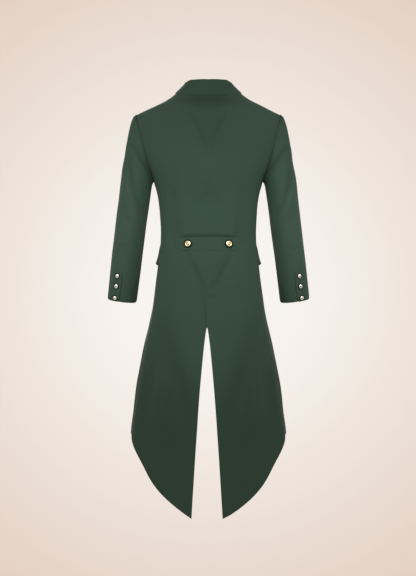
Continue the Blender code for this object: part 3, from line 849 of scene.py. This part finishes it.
arm_length = float(norm(CUFF - BICEP))
sleeve_rows = np.concatenate(
    [
        lines(CAP_LENGTH)[:-4] - 1,
        np.linspace(0, 1, SLEEVE_STEPS + 1)[:-1],
        1 - np.array(EDGE_LINES)[::-1] / arm_length,
    ]
)
for side, word in SIDES:
    for part, start, end in (("top", FORE_SEAM, HIND_SEAM), ("under", HIND_SEAM, FORE_SEAM + 360)):
        share, phi = np.meshgrid(sleeve_rows, lerp(start, end, lines(SLEEVE_GRID_WIDTH)), indexing="ij")
        in_vent = ease((share - SLEEVE_VENT_TOP) / SLEEVE_VENT_GROWS)
        near_seam = bell((phi - HIND_SEAM) / VENT_BESIDE_SEAM)
        if part == "top":
            widened = ease((phi - VENT_WIDENS_FROM) / (HIND_SEAM - VENT_WIDENS_FROM))
            phi = phi + SLEEVE_VENT_LAP * in_vent * widened
            lap = SLEEVE_VENT_LIFT * in_vent * ease((phi - VENT_LIFTS_FROM) / VENT_LIFTS_OVER)
            raised = VENT_CORNER_RISE * in_vent * ease((phi - HIND_SEAM) / SLEEVE_VENT_LAP)
            share = share - raised * np.maximum(share, 0)
        else:
            lap = -SLEEVE_VENT_LIFT * VENT_UNDER_SINK * in_vent * near_seam
        grid = sleeve_points(share, phi, side)
        from_head = run_lengths(grid, 0)
        over_arm = np.maximum(np.cos(np.radians(phi)), 0)
        head = SLEEVE_HEAD * bell(from_head / SLEEVE_HEAD_LENGTH) * ease(from_head / HEAD_STARTS) * over_arm
        into_hem = np.clip(1 - (1 - share) * arm_length / CUFF_ROUND, 0, 1)
        hem = CUFF_ROUND_IN * (1 - np.sqrt(1 - into_hem**2 * 0.999))
        shape = waviness(grid) * SLEEVE_WAVINESS + lap - hem
        # Painted shade along the armhole seam at the sleeve's head, and in the sleeve's creases below
        painted_shade = HEAD_SHADE * bell(from_head / HEAD_SHADE_LENGTH)
        below_bicep = np.maximum(share, 0)
        middle = BICEP[1] + (CUFF[1] - BICEP[1]) * below_bicep + ELBOW_BOW * np.sin(np.pi * below_bicep)
        for facing, way, width, depth in SLEEVE_CREASES[word]:
            shown = ease((grid[..., 1] - middle) * facing / FACING_FADE + FACING_SHIFT)
            made, crease_shade = creased(grid, ((way, width, depth),), grid[..., 0] * side)
            shape, painted_shade = shape + shown * made, np.maximum(painted_shade, shown * crease_shade)
        shape = shape * ease(from_head / SLEEVE_SHAPE_STARTS) + head
        under_turn, under_level = armhole(phi[:1], -SLEEVE_TUCK)
        tucked = on_body(under_turn, np.maximum(under_level, 0), -SLEEVE_TUCK_DEPTH) * (side, 1, 1)
        grid = np.concatenate([tucked, grid])
        shape, painted_shade = (np.concatenate([values[:1], values]) for values in (shape, painted_shade))
        seams = (SEAM_SINK, SEAM_SINK, HEAD_SINK, 0.0)
        piece = cloth_piece(f"sleeve_{part}_panel_{word}", grid, shape, seams, painted_shade, flip=side > 0)
        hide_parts(f"sleeve_{part}_{word}")


# Collar: a turned-down collar, cut in one, whose stand rises from the neck seam to a soft roll and whose fall
# lies over the top of the back and meets the lapels in front. The same wool, pressed to a crisp edge.
COLLAR_LIFT = 0.0018
COLLAR_CLOTH = 0.0013
COLLAR = table(
    ("share", "stand_up", "stand_in", "fall_out", "fall_down", "fall_crown"),
    (0.000, 0.0312, 0.0020, 0.0084, 0.0490, 0.005),
    (0.130, 0.0325, 0.0030, 0.0126, 0.0495, 0.005),
    (0.250, 0.0318, 0.0045, 0.0206, 0.0480, 0.003),
    (0.300, 0.0282, 0.0055, 0.0252, 0.0450, 0.001),
    (0.375, 0.0221, 0.0068, 0.0274, 0.0378, 0.000),
    (0.500, 0.0166, 0.0100, 0.0290, 0.0270, 0.000),
    (0.720, 0.0090, 0.0080, 0.0430, 0.0180, 0.003),
    (1.000, 0.0030, 0.0020, 0.0560, 0.0020, 0.006),
)
COLLAR_FRONT_LEVEL = 0.086
COLLAR_NECK_SHARE = 0.52
COLLAR_ROLL_SHARE = 0.45
COLLAR_END_FORWARD = -0.15
COLLAR_ROLL_SOFTENING = 10
COLLAR_STAND_CURVE = 1.5
COLLAR_WAVINESS = 0.5
COLLAR_GRID = (0.46, 0.085)
COLLAR_PITCH = 0.0022


def collar_points():
    across, down = np.meshgrid(lines(COLLAR_GRID[0]) * 2 - 1, lines(COLLAR_GRID[1], COLLAR_PITCH))
    side, share = np.where(across < 0, -1.0, 1.0), np.abs(across)
    angle = np.minimum(share / COLLAR_NECK_SHARE, 1) * math.pi / 2
    x = np.minimum(NECK_HALF_WIDTH * np.sin(angle), NECK_HALF_WIDTH - 1e-6)
    neck = np.stack([x, *ridge(x)], axis=-1)
    along = np.clip((share - COLLAR_NECK_SHARE) / (1 - COLLAR_NECK_SHARE), 0, 1)
    front = body(front_edge_turn(along * COLLAR_FRONT_LEVEL), along * COLLAR_FRONT_LEVEL)
    on_neck = (share < COLLAR_NECK_SHARE)[..., None]
    seam = np.where(on_neck, neck, front) + (0, 0, COLLAR_LIFT)
    turned = np.stack([np.ones_like(along), COLLAR_END_FORWARD * along, 0 * along], axis=-1)
    turned /= norm(turned, axis=-1, keepdims=True)
    outward = np.where(on_neck, np.stack([np.sin(angle), np.cos(angle), 0 * angle], axis=-1), turned)
    up, inward, fall_out, fall_down, crown = (
        read(COLLAR, "share", share, column)[..., None]
        for column in ("stand_up", "stand_in", "fall_out", "fall_down", "fall_crown")
    )
    roll = seam + up * (0, 0, 1) - outward * inward
    edge = roll + outward * fall_out - fall_down * (0, 0, 1)
    rise = np.clip(down / COLLAR_ROLL_SHARE, 0, 1)[..., None]
    fall = np.clip((down - COLLAR_ROLL_SHARE) / (1 - COLLAR_ROLL_SHARE), 0, 1)[..., None]
    stand = lerp(seam, roll, 1 - (1 - rise) ** COLLAR_STAND_CURVE)
    over = lerp(roll, edge, fall) + crown * np.sin(np.pi * fall) * (0, 0, 1)
    points = np.where(fall > 0, over, stand)
    points[..., 0] *= side
    return points


def softened(points, times):
    """The same grid with its turns eased along its columns, its edges kept."""
    for _ in range(times):
        middle = (points[:-2] + 2 * points[1:-1] + points[2:]) / 4
        points = np.concatenate([points[:1], middle, points[-1:]])
    return points


grid = softened(collar_points(), COLLAR_ROLL_SOFTENING)
shape = waviness(grid) * COLLAR_WAVINESS
collar_piece = cloth_piece("collar_piece", grid, shape, thickness=COLLAR_CLOTH)
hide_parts("collar")


# Lapels: the upper fronts turned back on themselves from the collar to the waist, a soft roll at the fold
# and a pressed outer edge, with a peak below the collar's end. Hidden in the photograph.
LAPEL_LIFT = 0.0014
LAPEL = table(
    ("level", "width"),
    (0.092, 0.060),
    (0.106, 0.088),
    (0.125, 0.094),
    (0.200, 0.074),
    (0.300, 0.042),
    (0.392, 0.010),
)
LAPEL_SPREAD = 0.62
LAPEL_ROLL = 0.0035
LAPEL_ROLL_LINES = 9
LAPEL_GRID_WIDTH = 0.09


def lapel_points(side):
    first, last = LAPEL["level"][0], LAPEL["level"][-1]
    turned_back = np.linspace(-math.pi / 2, math.pi / 2, LAPEL_ROLL_LINES)
    flat = lines(LAPEL_GRID_WIDTH)[1:]
    columns = len(turned_back) + len(flat)
    down = lines(last - first)[:, None] * np.ones(columns)
    level = lerp(first, last, down)
    depth = section(level, "front")
    roll = (2 * CLOTH + LAPEL_LIFT) / 2
    beyond = np.concatenate([roll * np.cos(turned_back), 0 * flat])
    out = np.concatenate([roll * np.sin(turned_back) + LAPEL_LIFT / 2, 0 * flat + CLOTH + LAPEL_LIFT])
    across = np.concatenate([0 * turned_back, flat])
    spread = np.degrees(read(LAPEL, "level", level, "width") / depth) * LAPEL_SPREAD
    rise = LAPEL_ROLL * np.sin(np.pi * across) * (1 - down)
    turn = front_edge_turn(level) - spread * across + np.degrees(beyond / depth) * LAPEL_SPREAD
    return on_body(side * turn, level, out + rise)


for side, word in SIDES:
    grid = lapel_points(side)
    piece = cloth_piece(f"lapel_piece_{word}", grid, waviness(grid), flip=side > 0)
    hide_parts(f"lapel_{word}")


# Half-belt: a short strap of doubled wool across the back of the waist, over the waist seam, with rounded ends
# under the two back buttons, which dimple it a little where they are sewn through.
BELT_END = 0.014
BELT_END_NARROWING = 0.45
BELT_CLOTH = 0.0018
BELT_OUT = 0.001
BELT_CROWN = 0.0008
BACK_BUTTON_OUT = 0.06
BACK_BUTTON_LEVEL = 0.44
BUTTON_DIMPLE = 0.001
BUTTON_DIMPLE_WIDTH = 0.013
FINE_PITCH = 0.003
across, down = np.meshgrid(
    lines(2 * BELT_HALF_LENGTH, FINE_PITCH) * 2 - 1, lines(2 * BELT_HALF_HEIGHT, FINE_PITCH) * 2 - 1
)
x = across * BELT_HALF_LENGTH
past = np.maximum(0.0, (np.abs(x) - BELT_HALF_LENGTH + BELT_END) / BELT_END)
level = BELT_MIDDLE + BELT_HALF_HEIGHT * (1 - BELT_END_NARROWING * past * past) * down
grid = on_body(turn_at(x, level), level, BELT_OUT)
shape = waviness(grid) + waist_bands(x, level) + BELT_CROWN * (1 - down**2)
for button_out in (BACK_BUTTON_OUT, -BACK_BUTTON_OUT):
    from_button = np.hypot(x - button_out, level - BACK_BUTTON_LEVEL)
    shape = shape - BUTTON_DIMPLE * bell(from_button / BUTTON_DIMPLE_WIDTH)
belt_piece = cloth_piece("half_belt_strap", grid, shape, thickness=BELT_CLOTH)
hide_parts("half_belt")


# Pocket flaps: one at each hip, sewn into the waist seam and standing a little off the tail, so that its
# lower edge shows past the coat's outline. Wool like the rest, with rounded lower corners.
FLAP_TURNS = (82.5, 121)
FLAP_DEPTH = 0.061
FLAP_FLARE = 0.0058
FLAP_HUGS = 0.15
FLAP_CORNER = 0.003
FLAP_CORNER_RISE = 0.6
FLAP_LENGTH = 0.085
FLAP_BELOW_SEAM = 0.002
FLAP_LIFTS = 0.3
for side, word in SIDES:
    across, down = np.meshgrid(lines(FLAP_LENGTH, FINE_PITCH), lines(FLAP_DEPTH, FINE_PITCH))
    turn = lerp(*FLAP_TURNS, across)
    into_corner = np.clip(1 - np.minimum(across, 1 - across) * FLAP_LENGTH / FLAP_CORNER, 0, 1)
    depth = FLAP_DEPTH - FLAP_CORNER * (1 - np.sqrt(1 - into_corner**2)) * FLAP_CORNER_RISE
    level = waist_level(turn) + FLAP_BELOW_SEAM + depth * down
    flare = FLAP_FLARE * down * down * ease(across / FLAP_HUGS)
    grid = on_body(side * turn, level, (CLOTH + LIFT / 2) * ease(down / FLAP_LIFTS) + flare)
    piece = cloth_piece(f"flap_piece_{word}", grid, waviness(grid), flip=side < 0)
    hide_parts(f"flap_{word}")


# Gilt shank buttons: two at the ends of the half-belt and three at each cuff, sewn on and never undone. Each
# is stamped from brass and gilded, with a milled rim, a groove, a low dome and a round boss in its middle.
# Their rims are painted near black, a painted shadow round each button, and their bosses a darker gold; the
# cuff buttons are painted a paler gilt, a painted highlight.
BACK_BUTTON_RADIUS = 0.0118
BACK_BUTTON_RISE = 0.0022
CUFF_BUTTON_RADIUS = 0.0081
CUFF_BUTTON_TURN = 65
CUFF_BUTTON_HEIGHTS = (-0.532, -0.5628, -0.5975)
BUTTON_HEIGHT = 0.42
BUTTON_STEPS = 72
BUTTON_MILLING = 24
MILLED_FROM = 0.9
MILLING_DEPTH = 0.016
# Profile points: out from the middle, up, and how far the gilt is darkened; the underside and rim are near
# black, the rim's darkness a painted shadow round the button, and the boss a darker gold
BUTTON_PROFILE = (
    (0, 0, 1), (0.84, 0, 1), (0.96, 0.06, 1), (1, 0.2, 1), (1, 0.46, 1), (0.975, 0.6, 1),
    (0.93, 0.66, 1), (0.885, 0.62, 1), (0.84, 0.5, 1), (0.79, 0.44, 1), (0.74, 0.48, 1), (0.71, 0.56, 0.4),
    (0.67, 0.62, 0), (0.58, 0.66, 0), (0.46, 0.71, 0), (0.38, 0.72, 0.1), (0.345, 0.74, 0.5),
    (0.31, 0.82, 0.45), (0.24, 0.9, 0.4), (0.13, 0.96, 0.35), (0, 0.98, 0.35),
)
GILT_BRIGHT = (0.92, 0.74, 0.43, 1)
# A paler gilt for the cuff buttons: a painted highlight
GILT_PAINTED_HIGHLIGHT = (1.00, 0.94, 0.82, 1)
# Near black: the painted shadow on the rims, the hidden underside, the bosses' darker tone and the tarnish
GILT_SHADOW_AND_TARNISH = (0.012, 0.013, 0.009, 1)
TARNISH = 0.12
GILT_ROUGHNESS = 0.3

gilt = bpy.data.materials.new("gilt_brass")
nodes = Finish(gilt)
place = nodes.term("TexCoord", {}, "Object")
tarnish = nodes.term("TexNoise", {"Vector": place, "Scale": 260.0, "Detail": 3.0})
# The cuff buttons are painted a paler gilt, a painted highlight, by their pale attribute
bright = nodes.mix(nodes.attribute("pale"), GILT_BRIGHT, GILT_PAINTED_HIGHLIGHT)
# Painted shadow on the rims, a darker boss and random tarnish darken the gilt
mixed = nodes.mix(nodes.attribute("rim_shadow_and_boss_tint") + tarnish * TARNISH, bright, GILT_SHADOW_AND_TARNISH)
roughness = tarnish * TARNISH + GILT_ROUGHNESS
nodes.feed(nodes.shader, {"Base Color": mixed, "Roughness": roughness, "Metallic": 1.0})


def gilt_button(name, radius, centre, outward, painted_highlight=0.0):
    bm = bmesh.new()
    # How far each point is darkened: painted shadow on the rim, a darker boss
    depth = bm.verts.layers.float.new("rim_shadow_and_boss_tint")
    chain = []
    for out, up, darkened in BUTTON_PROFILE:
        vert = bm.verts.new((radius * out, 0, radius * BUTTON_HEIGHT * up))
        vert[depth] = darkened
        chain.append(vert)
    edges = [bm.edges.new(pair) for pair in zip(chain, chain[1:])]
    bmesh.ops.spin(bm, geom=chain + edges, axis=(0, 0, 1), angle=math.tau, steps=BUTTON_STEPS, use_merge=True)
    bmesh.ops.remove_doubles(bm, verts=bm.verts[:], dist=1e-6)
    for vert in bm.verts:
        out = math.hypot(vert.co.x, vert.co.y) / radius
        if out > MILLED_FROM:
            vert.co.z += radius * MILLING_DEPTH * math.cos(BUTTON_MILLING * math.atan2(vert.co.y, vert.co.x))
    turned = Vector(outward).to_track_quat("Z", "Y").to_matrix().to_4x4()
    turned.translation = centre
    bmesh.ops.transform(bm, matrix=turned, verts=bm.verts[:])
    button = placed_object(name, bm, gilt, sharp_from=60)
    # 1 on the cuff buttons, which are painted paler as a painted highlight
    tint = button.data.attributes.new("pale", "FLOAT", "POINT").data
    tint.foreach_set("value", [painted_highlight] * len(tint))
    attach(button, "root")
    return button


for side, word in SIDES:
    turn = turn_at(side * BACK_BUTTON_OUT, BACK_BUTTON_LEVEL)
    on_cloth = on_body(turn, BACK_BUTTON_LEVEL, 0.0)
    outward = on_body(turn, BACK_BUTTON_LEVEL, 1.0) - on_cloth
    centre = on_cloth + outward * BACK_BUTTON_RISE
    button = gilt_button(f"gilt_back_button_{word}", BACK_BUTTON_RADIUS, centre, outward)
    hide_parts(f"back_button_{word}")
    for number, height in enumerate(CUFF_BUTTON_HEIGHTS, 1):
        share = np.array([(height - BICEP[2]) / (CUFF[2] - BICEP[2])])
        ahead, behind_it, here = (
            sleeve_points(share, np.array([CUFF_BUTTON_TURN + step]), side)[0] for step in (1, -1, 0)
        )
        below = sleeve_points(share + 0.01, np.array([CUFF_BUTTON_TURN]), side)[0]
        outward = np.cross(below - here, ahead - behind_it) * side
        outward /= norm(outward)
        centre = here + outward * (CUFF_BUTTON_RADIUS**2 / 2 / CUFF_HALF[0] + LIFT)
        button = gilt_button(f"gilt_cuff_button_{word}_{number}", CUFF_BUTTON_RADIUS, centre, outward, 1.0)
        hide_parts(f"cuff_button_{word}_{number}")


# Studio: a plain pale floor below the coat, a pale warm backdrop that is brightest behind it, and the camera
# straight behind the coat. A broad soft light and a spot for each shoulder come from above the camera, and
# there is a weaker light for the tails, one on each side, and one for the front.
FLOOR_LEVEL = -1.8
FLOOR_RADIUS = 1.75
BACKDROP = (
    (0.00, (0.945, 0.916, 0.884)),
    (0.10, (0.920, 0.874, 0.830)),
    (0.30, (0.871, 0.791, 0.723)),
    (0.58, (0.823, 0.716, 0.645)),
    (1.00, (0.775, 0.640, 0.555)),
)
BACKDROP_SPAN = 0.026
BACKDROP_ENDS = 0.2
BEYOND = (0.50, 0.49, 0.475, 1)
CAMERA_DISTANCE = 4.5
CAMERA_LEVEL = -0.57
CAMERA_ASIDE = 0.0012
LENS = 93.75

world = bpy.data.worlds.new("studio")
scene.world = world
sky = Finish(world, "Background")
direction = sky.term("TexCoord", {}, "Generated")
towards = sky.term("VectorMath", {0: direction, 1: (0, -1, 0)}, "Value", operation="DOT_PRODUCT")
near_share = sky.term("MapRange", {"Value": towards, "From Min": 1, "From Max": 1 - BACKDROP_SPAN})
glow = sky.term("ValToRGB", {0: near_share}, stops=BACKDROP)
beyond_share = sky.term(
    "MapRange", {"Value": towards, "From Min": 1 - BACKDROP_SPAN, "From Max": 1 - BACKDROP_ENDS},
    interpolation_type="SMOOTHSTEP",
)
sky.feed(sky.shader, {"Color": sky.mix(beyond_share, glow, BEYOND)})

bm = bmesh.new()
bmesh.ops.create_circle(bm, cap_ends=True, segments=96, radius=FLOOR_RADIUS)
bmesh.ops.translate(bm, verts=bm.verts[:], vec=(0, 0, FLOOR_LEVEL))
pale = bpy.data.materials.new("pale_floor")
nodes = Finish(pale)
nodes.feed(nodes.shader, {"Base Color": (0.78, 0.74, 0.70, 1), "Roughness": 0.9})
floor = placed_object("floor", bm, pale, sharp_from=60)

LIGHTS = (
    ("AREA", "key", (0, 2.5, 1.25), (0, 0.05, -0.42), 0.8, 5.4, 90),
    ("SPOT", "pool_left", (0.3, 2.6, 1), (0.3, 0.05, -0.32), 0.25, 178, 13),
    ("SPOT", "pool_low", (0, 2.6, 0.5), (0, 0.12, -0.75), 0.12, 80, 7.5),
    ("SPOT", "pool_right", (-0.3, 2.6, 1), (-0.3, 0.05, -0.32), 0.25, 178, 13),
    ("SPOT", "flank_left", (2.4, 1.7, -0.3), (0.16, 0, -0.42), 0.25, 95, 17),
    ("SPOT", "flank_right", (-2.4, 1.7, -0.3), (-0.16, 0, -0.42), 0.25, 95, 17),
    ("AREA", "front", (0.6, -3, 0.8), (0, 0, -0.45), 1.2, 15, 90),
)
for kind, name, at, aim, size, power, angle in LIGHTS:
    light = bpy.data.lights.new(name, kind)
    light.energy = power
    if kind == "AREA":
        light.size = size
        light.spread = math.radians(angle)
    else:
        light.shadow_soft_size = size
        light.spot_size = math.radians(angle)
        light.spot_blend = 1.0
    lamp = bpy.data.objects.new(name, light)
    lamp.location = at
    lamp.rotation_euler = (Vector(aim) - Vector(at)).to_track_quat("-Z", "Y").to_euler()
    scene.collection.objects.link(lamp)

camera_data = bpy.data.cameras.new("camera")
camera_data.lens = LENS
camera = bpy.data.objects.new("camera", camera_data)
camera.location = (CAMERA_ASIDE, CAMERA_DISTANCE, CAMERA_LEVEL)
camera.rotation_euler = (math.radians(90), 0, math.radians(180))
scene.collection.objects.link(camera)
scene.camera = camera
scene.view_settings.view_transform = "Standard"
